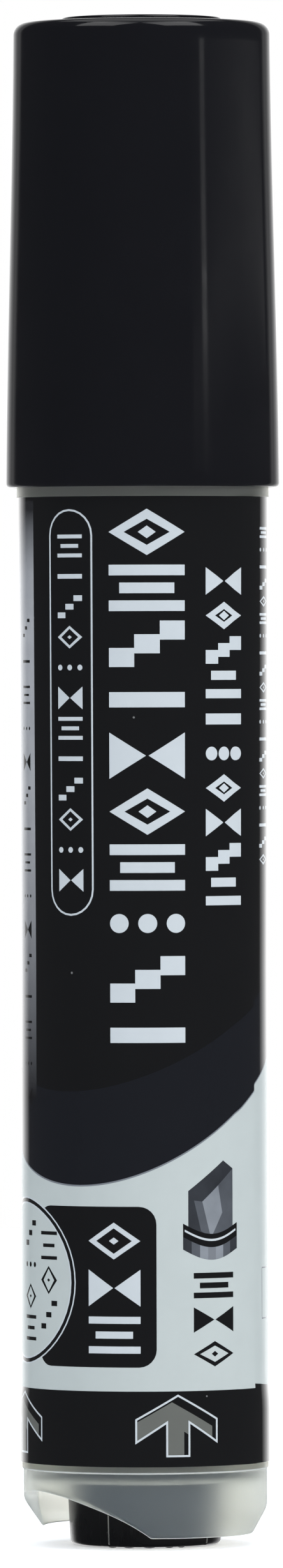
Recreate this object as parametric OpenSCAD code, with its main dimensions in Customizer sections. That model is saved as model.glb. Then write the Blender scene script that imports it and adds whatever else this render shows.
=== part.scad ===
// Push-feed whiteboard marker, standing on its push button with the cap up.
// Z runs along the marker's axis from the button's end face. Sizes are in millimetres.

/* [Cap] */
// Height of the cap's raised top disc above the button's end face
cap_top_z = 121; // [120.8:0.1:122]
// Height of the cap's mouth
cap_mouth_z = 83.78; // [83.7:0.01:83.85]
// Outer radius at the cap's mouth, its widest place
cap_mouth_r = 10.85; // [10.8:0.05:11.2]
// Outer radius at the top of the cap's taper
cap_shoulder_r = 10.19; // [10.1:0.01:10.5]
// Radius of the raised disc on top
cap_disc_r = 6.37; // [5:0.01:8]
// Inner radius of the cap, which grips the barrel's bead
cap_bore_r = 9.45; // [9.42:0.01:9.5]

/* [Barrel] */
// Outer radius of the labelled barrel along its straight grip
grip_r = 9.8; // [9.7:0.01:9.85]
// Outer radius of the labelled barrel at the label's top
front_r = 9.96; // [9.9:0.01:9.98]
// Outer radius of the labelled barrel at its flared tail
tail_flare_r = 9.94; // [9.85:0.01:9.96]
// Radius of the bare collar that shows between label and cap
collar_r = 9.99; // [9.97:0.01:10]
// Inner radius of the barrel
barrel_bore_r = 8.6; // [8.55:0.01:8.7]
// Height of the barrel's tail end
barrel_tail_z = 6.07; // [6:0.01:6.2]
// Height of the barrel's front end, inside the cap
barrel_front_z = 92; // [91.5:0.1:92.5]

/* [Label] */
// Thickness of the printed film
film_t = 0.12; // [0.08:0.01:0.15]
// Height of the film's lower edge
film_bottom_z = 6.67; // [6.5:0.01:7]
// Height of the film's upper edge
film_top_z = 83; // [82.5:0.1:83]

/* [Tail] */
// Outer radius of the tail guard
guard_r = 9.66; // [9.5:0.01:9.7]
// Height of the guard's rim at the front
guard_bottom_z = 0.92; // [0.8:0.01:1.2]
// How much higher the guard's rim is at the back
guard_rim_rise = 0.58; // [0:0.01:0.8]
// Highest point of the guard's cutaway
guard_wave_z = 4.5; // [4:0.1:4.8]
// Radius of the push button at its end face
button_r = 5.97; // [5.9:0.01:6]
// How far the button travels
push_travel = 3; // [2:0.1:3]

/* [Nib] */
// Radius of the felt nib
nib_r = 3.4; // [3:0.1:3.4]
// Height of the nib's tip
nib_tip_z = 110; // [108:0.5:111]
// Slope of the chisel cut across the tip, in degrees
nib_slope = 33; // [25:1:40]
// Thickness of the nib at its tip
nib_tip_t = 3; // [2.5:0.1:4]

/* [Hidden] */
$fn = 96;

fit_gap = 0.02;        // gap between pressed-together pieces
slide_gap = 0.05;      // gap between pieces that slide
overcut = 1;           // how far a cutter runs past the face it opens

// Cap
cap_shoulder_z = cap_top_z - 0.4;
cap_ceiling_z = cap_top_z - 1.6;
cap_edge_r = 1;
cap_disc_edge_r = 0.3;
cap_disc_foot = 0.25;
cap_disc_groove = 0.1;
cap_bore_ramp = 2;
cap_lip_r = 0.35;
cap_taper_z = cap_mouth_z + cap_lip_r;
cap_mouth_bore_r = collar_r + 0.07;
cap_step_z = cap_mouth_z + 0.57;
cap_upper_bore_r = 9;
cap_grip_top_z = 96;
taper_steps = 8;

// Cap liner
liner_r = 7.4;
liner_bottom_z = 96.5;
liner_roof_t = 1.2;
liner_flange_t = 1.5;

// Barrel
ring_r = 9.78;
ring_chamfer = 0.12;
flare_top_z = 10.8;
grip_bottom_z = 13.5;
grip_top_z = 45.5;
neck_z = 84.2;
neck_r = 9.3;
bead_r = 9.4;
bead_z = 88;
bead_half = 1;
bead_land = 0.4;
plug_r = barrel_bore_r - fit_gap;

// Nib holder
holder_rear_z = 85.2;
holder_flange_z = barrel_front_z + 1.4;
holder_chamfer = 0.3;
holder_land = 0.6;
nose_r = 6.5;
nose_z = 96;
nose_top_z = 101;
mouth_r = 4.9;
mouth_z = 104.5;
nib_seat_z = 97;
nib_shoulder = 1.5;
core_r = 1.5;
core_depth = 2;
absorber_r = 5.4;
absorber_top_z = 93.2;

// Valve sleeve
sleeve_rear_z = 74;
sleeve_bore_r = 6;
web_z = 84;
flow_r = 0.9;
flow_ring_r = 3.4;

// Tank
tank_r = 8.25;
tank_bore_r = 7.35;
tank_rear_z = 13.4;
tank_front_z = 64.2;
tank_neck_r = 5;
tank_wall = 1.5;
tank_bead_r = 8.53;
tank_bead_half = 0.6;
tank_bead_land = 0.3;
tank_bead_inset = 6;
ink_top_z = 55;
plug_flange_t = 1.2;
plug_flange_r = 8;
plug_top_z = 17;
plug_wall = 1.2;
plug_floor_t = 1;

// Button and guard
skirt_r = 7.3;
skirt_z = 7.5;
button_top_r = 6.3;
boss_r = 4.65;
boss_bottom_z = 3;
button_floor_t = 2.2;
button_edge_r = 0.4;
guard_bore_r = button_top_r + 0.08;
guard_counterbore_r = skirt_r + 0.1;
guard_top_z = 12;
guard_web_z = 5.2;
guard_stock = 0.3;

// Guard skirt: a thin wall that draws in towards its rim
skirt_bore_r = 8.55;
rim_t = 0.18;
draw_in_z = 3.4;
draw_in_bend = 0.8;
draw_in_slope = 0.55;
skirt_rows = 8;

// Rim of the skirt, at angles measured from the front towards the right
rim_rise_a = [90, 224];
wave_a = [-92, 3];
wave_crest = 0.305;
wave_step_h = 0.5;
wave_fillet = 0.6;
rim_steps = 90;
rim_gap_a = 0.5;
rim_reach_in = 1.5;

// Valve
valve_rear_z = 60;
valve_flange_r = 7.9;
valve_flange_z = 66.5;
valve_nose_r = 5.9;
valve_nose_z = web_z - push_travel - 1;
valve_bore_r = 3.6;
valve_mouth_r = 1.7;
seat_z = 77.3;
seat_t = 1.2;
cage_z = 66;
cage_t = 1.5;
cage_hole_r = 0.6;
cage_hole_ring_r = 2.35;
ring_z = 75.8;
ring_section_r = 0.535;
ring_sides = 32;
ring_groove_r = 4.9;
ring_groove_half = 0.65;
head_z = 75.3;
head_r = 2.9;
stem_nose_r = 1.2;
stem_tail_r = 1;
stem_tail_z = 65.5;
stem_chamfer = 0.3;

// Springs: wire diameter, mean coil radius, open turns
valve_wire_d = 0.35;
valve_coil_r = 2;
valve_turns = 5;
return_wire_d = 0.7;
return_coil_r = 7.2;
return_turns = 2;
closed_turns = 1;
wire_sides = 8;
wire_fill = 0.97;
turn_steps = 24;

function arc(cx, cz, r, a0, a1, steps) =
    [for (i = [0 : steps]) [cx + r * cos(a0 + (a1 - a0) * i / steps), cz + r * sin(a0 + (a1 - a0) * i / steps)]];

// Share of the cap's taper used up at a share t of its height: gentle at both ends
function taper(t) = (t + (1 - cos(180 * t)) / 2) / 2;

// Smooth step from 0 to 1
function ease(t) = let (u = max(0, min(1, t))) u * u * (3 - 2 * u);

// Height of the cutaway at a share u of its span: a steep edge, a crest and a long slope
function wave_height(u) =
    let (
        past_crest = (u - wave_crest) / (1 - wave_crest),
        before_crest = (wave_crest - u) / wave_crest,
        along = u * (wave_a[1] - wave_a[0]) * PI / 180 * guard_r,
        lift = wave_fillet - min(along, wave_fillet),
        fillet = wave_fillet - sqrt(wave_fillet * wave_fillet - lift * lift)
    )
    u > wave_crest
        ? guard_wave_z - (guard_wave_z - guard_bottom_z) * pow(past_crest, 2)
        : guard_wave_z - wave_step_h * pow(before_crest, 2) - fillet;

// Height of the guard's rim at angle a, from the cutaway's steep edge (-92) round to it again (268)
function rim_height(a) =
    a < wave_a[1]
        ? wave_height((a - wave_a[0]) / (wave_a[1] - wave_a[0]))
        : guard_bottom_z + guard_rim_rise * ease((a - rim_rise_a[0]) / (rim_rise_a[1] - rim_rise_a[0]));

// Outer radius of the skirt at height z: a soft bend, then a straight slope in
function skirt_r_at(z) =
    let (h = max(0, draw_in_z - z))
    guard_r - draw_in_slope * (h < draw_in_bend ? h * h / (2 * draw_in_bend) : h - draw_in_bend / 2);

module lathe(outline) {
    rotate_extrude() polygon(outline);
}

module tube(outer_r, inner_r, z0, z1) {
    lathe([[inner_r, z0], [outer_r, z0], [outer_r, z1], [inner_r, z1]]);
}

module bore(r, z0, z1) {
    translate([0, 0, z0]) cylinder(r = r, h = z1 - z0);
}

module flow_holes(r, ring_r, z0, z1) {
    for (a = [0 : 90 : 270]) rotate(a + 45) translate([ring_r, 0, 0]) bore(r, z0, z1);
}

// Compression spring with closed ends, from z0 to z1
module spring(wire_d, coil_r, open_turns, z0, z1) {
    turns = open_turns + 2 * closed_turns;
    steps = turns * turn_steps;
    rise = (z1 - z0 - wire_d - 2 * closed_turns * wire_d) / open_turns;
    function height(t) =
        z0 + wire_d / 2
        + wire_d * min(t, closed_turns)
        + rise * max(0, min(t, turns - closed_turns) - closed_turns)
        + wire_d * max(0, t - turns + closed_turns);
    points = [
        for (i = [0 : steps])
            for (k = [0 : wire_sides - 1])
                let (
                    t = i / turn_steps,
                    a = 360 * t,
                    side_a = 360 * (k + 0.5) / wire_sides,
                    wire_r = wire_d / 2 * wire_fill,
                    r = coil_r + wire_r * cos(side_a)
                )
                [r * cos(a), r * sin(a), height(t) + wire_r * sin(side_a)]
    ];
    skin = [
        for (i = [0 : steps - 1])
            for (k = [0 : wire_sides - 1])
                let (
                    a = i * wire_sides + k,
                    b = i * wire_sides + (k + 1) % wire_sides
                )
                [a, b, b + wire_sides, a + wire_sides]
    ];
    start_cap = [for (k = [0 : wire_sides - 1]) wire_sides - 1 - k];
    end_cap = [for (k = [0 : wire_sides - 1]) steps * wire_sides + k];
    polyhedron(points, concat(skin, [start_cap, end_cap]), convexity = 10);
}

// Ring-shaped cutter whose top follows the guard's rim
module rim_cutter() {
    inner_r = skirt_bore_r - rim_reach_in;
    outer_r = guard_r + overcut;
    floor_z = guard_bottom_z - overcut;
    points = [
        for (i = [0 : rim_steps])
            let (
                a = wave_a[0] + (360 - rim_gap_a) * i / rim_steps,
                top = rim_height(a)
            )
            for (p = [[inner_r, floor_z], [outer_r, floor_z], [outer_r, top], [inner_r, top]])
                [p[0] * sin(a), -p[0] * cos(a), p[1]]
    ];
    skin = [
        for (i = [0 : rim_steps])
            for (k = [0 : 3])
                let (
                    next = (i + 1) % (rim_steps + 1),
                    up = (k + 1) % 4
                )
                [4 * i + k, 4 * i + up, 4 * next + up, 4 * next + k]
    ];
    polyhedron(points, skin, convexity = 6);
}

module cap_shell() {
    side = [
        for (i = [0 : taper_steps])
            let (t = i / taper_steps)
            [
                cap_mouth_r - (cap_mouth_r - cap_shoulder_r) * taper(t),
                cap_taper_z + (cap_shoulder_z - cap_edge_r - cap_taper_z) * t
            ]
    ];
    color("#18181a") lathe(concat(
        [[cap_mouth_bore_r, cap_mouth_z]],
        arc(cap_mouth_r - cap_lip_r, cap_taper_z, cap_lip_r, -90, -15, 4),
        side,
        arc(cap_shoulder_r - cap_edge_r, cap_shoulder_z - cap_edge_r, cap_edge_r, 15, 90, 4),
        [
            [cap_disc_r + cap_disc_foot, cap_shoulder_z],
            [cap_disc_r, cap_shoulder_z - cap_disc_groove]
        ],
        arc(cap_disc_r - cap_disc_edge_r, cap_top_z - cap_disc_edge_r, cap_disc_edge_r, 0, 90, 4),
        [
            [0, cap_top_z],
            [0, cap_ceiling_z],
            [cap_upper_bore_r, cap_ceiling_z],
            [cap_upper_bore_r, cap_grip_top_z + cap_bore_ramp],
            [cap_bore_r, cap_grip_top_z],
            [cap_bore_r, cap_step_z],
            [cap_mouth_bore_r, cap_step_z]
        ]
    ));
}

module cap_liner() {
    flange_z = cap_ceiling_z - liner_flange_t;
    color("#d9dcd2") difference() {
        union() {
            bore(liner_r, liner_bottom_z, cap_ceiling_z);
            bore(cap_upper_bore_r - fit_gap, flange_z, cap_ceiling_z);
        }
        bore(nose_r + slide_gap, liner_bottom_z - overcut, cap_ceiling_z - liner_roof_t);
    }
}

module barrel_tube() {
    color("#e1e4d7") lathe([
        [barrel_bore_r, barrel_tail_z],
        [ring_r - ring_chamfer, barrel_tail_z],
        [ring_r, barrel_tail_z + ring_chamfer],
        [ring_r, film_bottom_z],
        [tail_flare_r - film_t, film_bottom_z],
        [tail_flare_r - film_t, flare_top_z],
        [grip_r - film_t, grip_bottom_z],
        [grip_r - film_t, grip_top_z],
        [front_r - film_t, film_top_z],
        [collar_r, film_top_z],
        [collar_r, neck_z],
        [neck_r, neck_z],
        [neck_r, bead_z - bead_half],
        [bead_r, bead_z - bead_land],
        [bead_r, bead_z + bead_land],
        [neck_r, bead_z + bead_half],
        [neck_r, barrel_front_z],
        [barrel_bore_r, barrel_front_z]
    ]);
}

module label_film() {
    color("#c8ced4") lathe([
        [tail_flare_r - film_t, film_bottom_z],
        [tail_flare_r, film_bottom_z],
        [tail_flare_r, flare_top_z],
        [grip_r, grip_bottom_z],
        [grip_r, grip_top_z],
        [front_r, film_top_z],
        [front_r - film_t, film_top_z],
        [grip_r - film_t, grip_top_z],
        [grip_r - film_t, grip_bottom_z],
        [tail_flare_r - film_t, flare_top_z]
    ]);
}

module nib_holder() {
    color("#26272a") difference() {
        lathe([
            [0, holder_rear_z],
            [plug_r, holder_rear_z],
            [plug_r, barrel_front_z],
            [neck_r, barrel_front_z],
            [neck_r, holder_flange_z - holder_chamfer],
            [neck_r - holder_chamfer, holder_flange_z],
            [neck_r - holder_chamfer - holder_land, holder_flange_z],
            [nose_r, nose_z],
            [nose_r, nose_top_z],
            [mouth_r, mouth_z],
            [0, mouth_z]
        ]);
        bore(absorber_r, holder_rear_z - overcut, absorber_top_z);
        bore(core_r + fit_gap, absorber_top_z - overcut, mouth_z + overcut);
        bore(nib_r + fit_gap, nib_seat_z, mouth_z + overcut);
    }
}

module nib() {
    half_t = nib_tip_t / 2;
    side = nib_r + overcut;
    flat_reach = nib_r + 0.1;
    wedge_z = nib_tip_z - 2 * nib_r * tan(nib_slope);
    color("#2b2b2d") difference() {
        intersection() {
            bore(nib_r, nib_seat_z, nib_tip_z);
            // chisel cut, high on the left
            translate([0, side, 0]) rotate([90, 0, 0]) linear_extrude(height = 2 * side) polygon([
                [-side, nib_seat_z - overcut],
                [side, nib_seat_z - overcut],
                [side, wedge_z - overcut * tan(nib_slope)],
                [-nib_r, nib_tip_z],
                [-side, nib_tip_z]
            ]);
            // flats that thin the tip
            translate([-side, 0, 0]) rotate([90, 0, 90]) linear_extrude(height = 2 * side) polygon([
                [-flat_reach, nib_seat_z - overcut],
                [flat_reach, nib_seat_z - overcut],
                [flat_reach, wedge_z - nib_shoulder],
                [half_t, nib_tip_z],
                [-half_t, nib_tip_z],
                [-flat_reach, wedge_z - nib_shoulder]
            ]);
        }
        bore(core_r + fit_gap, nib_seat_z - overcut, nib_seat_z + core_depth);
    }
}

module relay_core() {
    color("#3a3a3c") bore(core_r, holder_rear_z, nib_seat_z + core_depth);
}

module absorber() {
    color("#8d8f93") tube(absorber_r - fit_gap, core_r + fit_gap, holder_rear_z, absorber_top_z - fit_gap);
}

module valve_sleeve() {
    color("#26272a") difference() {
        bore(plug_r, sleeve_rear_z, holder_rear_z);
        bore(sleeve_bore_r, sleeve_rear_z - overcut, web_z);
        flow_holes(flow_r, flow_ring_r, web_z - overcut, holder_rear_z + overcut);
    }
}

module tail_guard() {
    low_z = guard_bottom_z - guard_stock;
    rows = [for (i = [0 : skirt_rows]) low_z + (draw_in_z - low_z) * i / skirt_rows];
    outside = [for (z = rows) [skirt_r_at(z), z]];
    inside = [for (i = [skirt_rows : -1 : 0]) [min(skirt_bore_r, skirt_r_at(rows[i]) - rim_t), rows[i]]];
    color("#d5dadd") difference() {
        lathe(concat(
            outside,
            [
                [guard_r, barrel_tail_z],
                [plug_r, barrel_tail_z],
                [plug_r, guard_top_z],
                [guard_counterbore_r, guard_top_z],
                [guard_counterbore_r, skirt_z - slide_gap],
                [guard_bore_r, skirt_z - slide_gap],
                [guard_bore_r, guard_web_z],
                [skirt_bore_r, guard_web_z]
            ],
            inside
        ));
        rim_cutter();
    }
}

module push_button() {
    plug_bottom_z = tank_rear_z - plug_flange_t;
    color("#1d1d1f") difference() {
        lathe(concat(
            [[0, 0]],
            arc(button_r - button_edge_r, button_edge_r, button_edge_r, -90, 0, 5),
            [[button_top_r, skirt_z], [skirt_r, skirt_z], [skirt_r, plug_bottom_z], [0, plug_bottom_z]]
        ));
        bore(boss_r + fit_gap, button_floor_t, plug_bottom_z + overcut);
    }
}

module tail_plug() {
    color("#c9ced2") difference() {
        union() {
            bore(boss_r, boss_bottom_z, tank_rear_z);
            bore(plug_flange_r, tank_rear_z - plug_flange_t, tank_rear_z);
            bore(tank_bore_r - fit_gap, tank_rear_z, plug_top_z);
        }
        bore(boss_r - plug_wall, boss_bottom_z - overcut, tank_rear_z - plug_flange_t);
        bore(tank_bore_r - plug_wall, tank_rear_z + plug_floor_t, plug_top_z + overcut);
    }
}

module ink_tank() {
    inside_r = tank_r - 0.1;
    color("#dde1e0") difference() {
        union() {
            bore(tank_r, tank_rear_z, tank_front_z);
            for (z = [plug_top_z, tank_front_z - tank_bead_inset]) lathe([
                [inside_r, z - tank_bead_half],
                [tank_r, z - tank_bead_half],
                [tank_bead_r, z - tank_bead_land],
                [tank_bead_r, z + tank_bead_land],
                [tank_r, z + tank_bead_half],
                [inside_r, z + tank_bead_half]
            ]);
        }
        bore(tank_bore_r, tank_rear_z - overcut, tank_front_z - tank_wall);
        bore(tank_neck_r + fit_gap, tank_rear_z, tank_front_z + overcut);
    }
}

module ink_charge() {
    color("#101014") bore(tank_bore_r - slide_gap, plug_top_z + fit_gap, ink_top_z);
}

module valve_body() {
    color("#eceff0") difference() {
        union() {
            bore(tank_neck_r, valve_rear_z, tank_front_z);
            bore(valve_flange_r, tank_front_z, valve_flange_z);
            bore(valve_nose_r, tank_front_z, valve_nose_z);
        }
        bore(valve_bore_r, valve_rear_z - overcut, seat_z + seat_t);
        bore(valve_mouth_r, seat_z, valve_nose_z + overcut);
        tube(valve_nose_r + overcut, ring_groove_r, ring_z - ring_groove_half, ring_z + ring_groove_half);
    }
}

module valve_cage() {
    color("#b9bec2") difference() {
        bore(valve_bore_r - fit_gap, cage_z, cage_z + cage_t);
        bore(stem_tail_r + slide_gap, cage_z - overcut, cage_z + cage_t + overcut);
        flow_holes(cage_hole_r, cage_hole_ring_r, cage_z - overcut, cage_z + cage_t + overcut);
    }
}

module valve_seat() {
    color("#3b3d40") tube(valve_bore_r - fit_gap, valve_mouth_r, seat_z, seat_z + seat_t);
}

module nose_seal() {
    centre_r = ring_groove_r + ring_section_r;
    color("#303234") rotate_extrude() translate([centre_r, ring_z]) circle(r = ring_section_r, $fn = ring_sides);
}

module valve_stem() {
    tip_z = web_z - slide_gap;
    color("#e7e9ea") lathe([
        [0, stem_tail_z],
        [stem_tail_r, stem_tail_z],
        [stem_tail_r, head_z],
        [head_r, head_z],
        [head_r, seat_z - fit_gap],
        [stem_nose_r, seat_z - fit_gap],
        [stem_nose_r, tip_z - stem_chamfer],
        [stem_nose_r - stem_chamfer, tip_z],
        [0, tip_z]
    ]);
}

module valve_spring() {
    color("#aeb2b6") spring(valve_wire_d, valve_coil_r, valve_turns, cage_z + cage_t, head_z);
}

module return_spring() {
    color("#aeb2b6") spring(return_wire_d, return_coil_r, return_turns, valve_flange_z, sleeve_rear_z);
}

cap_shell();
cap_liner();
barrel_tube();
label_film();
nib_holder();
nib();
relay_core();
absorber();
valve_sleeve();
tail_guard();
push_button();
tail_plug();
ink_tank();
ink_charge();
valve_body();
valve_cage();
valve_seat();
nose_seal();
valve_stem();
valve_spring();
return_spring();
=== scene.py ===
"""Looks of a push-feed whiteboard marker that stands on its push button, cap up.

Lengths are in millimetres until a mesh is made, and angles are measured from the
front (-Y) towards the right (+X).
"""

import math

import bmesh
import bpy
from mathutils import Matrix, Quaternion, Vector
from mathutils.geometry import delaunay_2d_cdt


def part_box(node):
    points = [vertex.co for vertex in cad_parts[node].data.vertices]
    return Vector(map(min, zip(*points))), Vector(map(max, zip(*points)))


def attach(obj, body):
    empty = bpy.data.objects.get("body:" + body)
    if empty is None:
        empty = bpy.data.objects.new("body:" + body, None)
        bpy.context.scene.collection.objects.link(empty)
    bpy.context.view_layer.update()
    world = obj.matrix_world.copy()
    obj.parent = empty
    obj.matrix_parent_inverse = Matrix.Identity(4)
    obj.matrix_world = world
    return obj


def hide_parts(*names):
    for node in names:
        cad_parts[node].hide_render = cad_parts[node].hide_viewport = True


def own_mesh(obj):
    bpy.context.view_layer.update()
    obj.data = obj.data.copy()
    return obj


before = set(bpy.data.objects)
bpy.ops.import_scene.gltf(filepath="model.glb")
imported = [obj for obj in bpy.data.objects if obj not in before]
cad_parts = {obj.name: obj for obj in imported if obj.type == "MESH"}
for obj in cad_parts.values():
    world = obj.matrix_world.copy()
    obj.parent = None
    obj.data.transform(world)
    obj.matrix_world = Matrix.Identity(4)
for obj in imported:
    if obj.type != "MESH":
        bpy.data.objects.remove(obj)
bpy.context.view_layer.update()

MM = 0.001


def box_mm(node):
    low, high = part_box(node)
    return low / MM, high / MM


CAP_LOW, CAP_HIGH = box_mm("cap_shell")
FILM_LOW, FILM_HIGH = box_mm("label_film")
BARREL_LOW, BARREL_HIGH = box_mm("barrel_tube")
_, GUARD_HIGH = box_mm("tail_guard")
_, BUTTON_HIGH = box_mm("push_button")
HOLDER_LOW, _ = box_mm("nib_holder")
NIB_LOW, NIB_HIGH = box_mm("nib")
AXIS_TOP = CAP_HIGH.z

# ---------------------------------------------------------------- camera

CAMERA_AT = Vector((-0.16, -1060, 69.25))
LOOKS_AT = Vector((-0.16, 0, 60.29))
VIEW_HEIGHT = 124.32
ROLL = math.radians(0.16)


def make_camera():
    data = bpy.data.cameras.new("camera")
    cam = bpy.data.objects.new("camera", data)
    bpy.context.scene.collection.objects.link(cam)
    cam.location = CAMERA_AT * MM
    towards = (LOOKS_AT - CAMERA_AT).normalized()
    cam.rotation_mode = "QUATERNION"
    cam.rotation_quaternion = towards.to_track_quat("-Z", "Y")
    cam.rotation_quaternion.rotate(Quaternion(towards, ROLL))
    data.sensor_width = 36
    data.lens = data.sensor_width * (LOOKS_AT - CAMERA_AT).length / VIEW_HEIGHT
    data.clip_start, data.clip_end = 0.01, 100
    bpy.context.scene.camera = cam


make_camera()

# ---------------------------------------------------------------- node helpers


def new_material(name):
    mat = bpy.data.materials.new(name)
    mat.use_nodes = True
    return mat, mat.node_tree, mat.node_tree.nodes["Principled BSDF"]


def feed(nt, value, socket):
    """Links a node output to a socket, or sets the socket to a constant."""
    if isinstance(value, bpy.types.NodeSocket):
        nt.links.new(value, socket)
    else:
        socket.default_value = value


def place(nt, per_mm=(1, 1, 1)):
    """The piece's own coordinates, in millimetres, stretched by per_mm."""
    coords = nt.nodes.new("ShaderNodeTexCoord")
    mapping = nt.nodes.new("ShaderNodeMapping")
    mapping.inputs["Scale"].default_value = [s / MM for s in per_mm]
    nt.links.new(coords.outputs["Object"], mapping.inputs["Vector"])
    return mapping.outputs["Vector"]


def noise(nt, per_mm, detail=3.0, rough=0.55, where=None):
    node = nt.nodes.new("ShaderNodeTexNoise")
    node.inputs["Scale"].default_value = 1.0
    node.inputs["Detail"].default_value = detail
    node.inputs["Roughness"].default_value = rough
    nt.links.new(where or place(nt, per_mm), node.inputs["Vector"])
    return node.outputs["Fac"]


def maths(nt, kind, a, b=0.0, clamp=False):
    node = nt.nodes.new("ShaderNodeMath")
    node.operation = kind
    node.use_clamp = clamp
    feed(nt, a, node.inputs[0])
    feed(nt, b, node.inputs[1])
    return node.outputs[0]


def ranged(nt, value, from_low, from_high, to_low, to_high):
    node = nt.nodes.new("ShaderNodeMapRange")
    feed(nt, value, node.inputs["Value"])
    for name, v in (
        ("From Min", from_low),
        ("From Max", from_high),
        ("To Min", to_low),
        ("To Max", to_high),
    ):
        node.inputs[name].default_value = v
    return node.outputs["Result"]


def blended(nt, share, a, b):
    node = nt.nodes.new("ShaderNodeMix")
    node.data_type = "RGBA"
    feed(nt, share, node.inputs["Factor"])
    feed(nt, a, node.inputs[6])
    feed(nt, b, node.inputs[7])
    return node.outputs[2]


def ramp(nt, value, stops):
    node = nt.nodes.new("ShaderNodeValToRGB")
    feed(nt, value, node.inputs["Fac"])
    elements = node.color_ramp.elements
    while len(elements) < len(stops):
        elements.new(0.5)
    for element, (at, colour) in zip(elements, stops):
        element.position = at
        element.color = colour
    return node.outputs["Color"]


def bumped(nt, shader, height, strength, depth_mm):
    node = nt.nodes.new("ShaderNodeBump")
    node.inputs["Strength"].default_value = strength
    node.inputs["Distance"].default_value = depth_mm * MM
    nt.links.new(height, node.inputs["Height"])
    nt.links.new(node.outputs["Normal"], shader.inputs["Normal"])


DUST_LEFT_OUT = 0.62
DUST_CELL_MM = 2.6
DUST_SIZE = 0.035


def dust(nt, cell_mm, size):
    """1 on sparse specks, in a share of the cells of cell_mm."""
    node = nt.nodes.new("ShaderNodeTexVoronoi")
    node.inputs["Scale"].default_value = 1.0
    nt.links.new(place(nt, (1 / cell_mm,) * 3), node.inputs["Vector"])
    near = maths(nt, "LESS_THAN", node.outputs["Distance"], size)
    split = nt.nodes.new("ShaderNodeSeparateColor")
    nt.links.new(node.outputs["Color"], split.inputs[0])
    chosen = maths(nt, "GREATER_THAN", split.outputs[0], DUST_LEFT_OUT)
    return maths(nt, "MULTIPLY", near, chosen)


def rgb(r, g, b):
    """An sRGB colour, 0 to 255, as linear RGBA."""
    linear = [
        c / 12.92 if c <= 0.04045 else ((c + 0.055) / 1.055) ** 2.4
        for c in (r / 255, g / 255, b / 255)
    ]
    return (*linear, 1.0)


def scaled(colour, by):
    return (*[min(1.0, c * by) for c in colour[:3]], 1.0)


def surface(
    name,
    colour,
    tone=0.1,
    tone_mm=4.0,
    roughness=0.35,
    spread=0.08,
    grain=0.1,
    grain_mm=0.35,
    streaks=0.0,
    specks=0.0,
    edge_gloss=None,
    **sockets,
):
    """A moulded or printed surface: clouded colour, uneven gloss, fine grain, rubbed
    streaks along the axis and specks of dust. edge_gloss gives the specular level seen
    face on and the one seen edge on."""
    mat, nt, shader = new_material(name)
    cloud = noise(nt, (1 / tone_mm,) * 3)
    base = blended(nt, cloud, scaled(colour, 1 - tone), scaled(colour, 1 + tone))
    fine = noise(nt, (1 / grain_mm,) * 3, detail=2.0)
    rough = ranged(nt, cloud, 0.3, 0.7, roughness - spread, roughness + spread)
    if streaks:
        lines = noise(nt, (9.0, 9.0, 0.12), detail=2.0)
        rubbed = ranged(nt, lines, 0.56, 0.74, 0.0, streaks)
        rough = maths(nt, "ADD", rough, rubbed, clamp=True)
    if specks:
        spots = maths(nt, "MULTIPLY", dust(nt, DUST_CELL_MM, DUST_SIZE), specks)
        base = blended(nt, spots, base, rgb(190, 190, 186))
    if edge_gloss:
        facing = nt.nodes.new("ShaderNodeLayerWeight").outputs["Facing"]
        gloss = ranged(nt, facing, 0.4, 0.72, *edge_gloss)
        nt.links.new(gloss, shader.inputs["Specular IOR Level"])
    nt.links.new(base, shader.inputs["Base Color"])
    nt.links.new(rough, shader.inputs["Roughness"])
    bumped(nt, shader, fine, grain, 0.02)
    for socket, value in sockets.items():
        shader.inputs[socket.replace("_", " ")].default_value = value
    return mat


# ---------------------------------------------------------------- materials

CAP_BLACK = surface(
    "cap black", rgb(21, 21, 24), tone=0.08, roughness=0.1, spread=0.02,
    grain=0.03, streaks=0.03, specks=0.6, edge_gloss=(0.3, 0.012),
)
BUTTON_BLACK = surface(
    "button black", rgb(20, 20, 22), roughness=0.3, grain=0.12, streaks=0.1, specks=0.4,
    Specular_IOR_Level=0.35,
)
# A lighter grey for the thin faces along the button's rib edges: painted highlight lines.
RIB_EDGE_HIGHLIGHT = surface("rib edge painted highlight", rgb(108, 108, 106), roughness=0.4, grain=0.2, grain_mm=0.15)
HOLDER_BLACK = surface("holder black", rgb(30, 30, 33), roughness=0.42, grain=0.15, specks=0.2)
MILKY = surface(
    "milky barrel", rgb(240, 241, 230), tone=0.03, roughness=0.33, spread=0.04, grain=0.02,
    Transmission_Weight=0.91, IOR=1.35, Specular_IOR_Level=0.5,
    Sheen_Weight=0.9, Sheen_Roughness=0.3, Sheen_Tint=(1, 0.97, 0.8, 1),
)
MILKY_GUARD = surface(
    "milky guard", rgb(240, 239, 229), tone=0.02, roughness=0.58, spread=0.03, grain=0.02,
    Transmission_Weight=0.96, IOR=1.22, Specular_IOR_Level=0.5,
    Sheen_Weight=0.08, Sheen_Roughness=1.0, Sheen_Tint=(0.3, 0.6, 1.0, 1),
)
FROSTED_EDGE = surface(
    "frosted edge", rgb(232, 234, 230), tone=0.03, roughness=0.5, grain=0.1, grain_mm=0.2,
    Transmission_Weight=0.45, IOR=1.2,
)
INNER_WHITE = surface("inner white", rgb(224, 228, 230), tone=0.03, roughness=0.45)
TANK_MILKY = surface(
    "tank milky", rgb(226, 230, 229), tone=0.04, roughness=0.35, Transmission_Weight=0.5, IOR=1.45
)
LINER_WHITE = surface("liner white", rgb(216, 219, 209), tone=0.04, roughness=0.5)
INK = surface("ink", rgb(14, 14, 18), roughness=0.12, spread=0.03, grain=0.02)
RUBBER = surface("seal rubber", rgb(46, 48, 50), roughness=0.7, grain=0.35, grain_mm=0.2)
STEM_WHITE = surface("stem white", rgb(232, 234, 235), tone=0.02, roughness=0.38)
STEEL = surface(
    "spring steel", rgb(176, 180, 184), tone=0.08, roughness=0.26, grain=0.15, grain_mm=0.1,
    Metallic=1.0,
)


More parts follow.
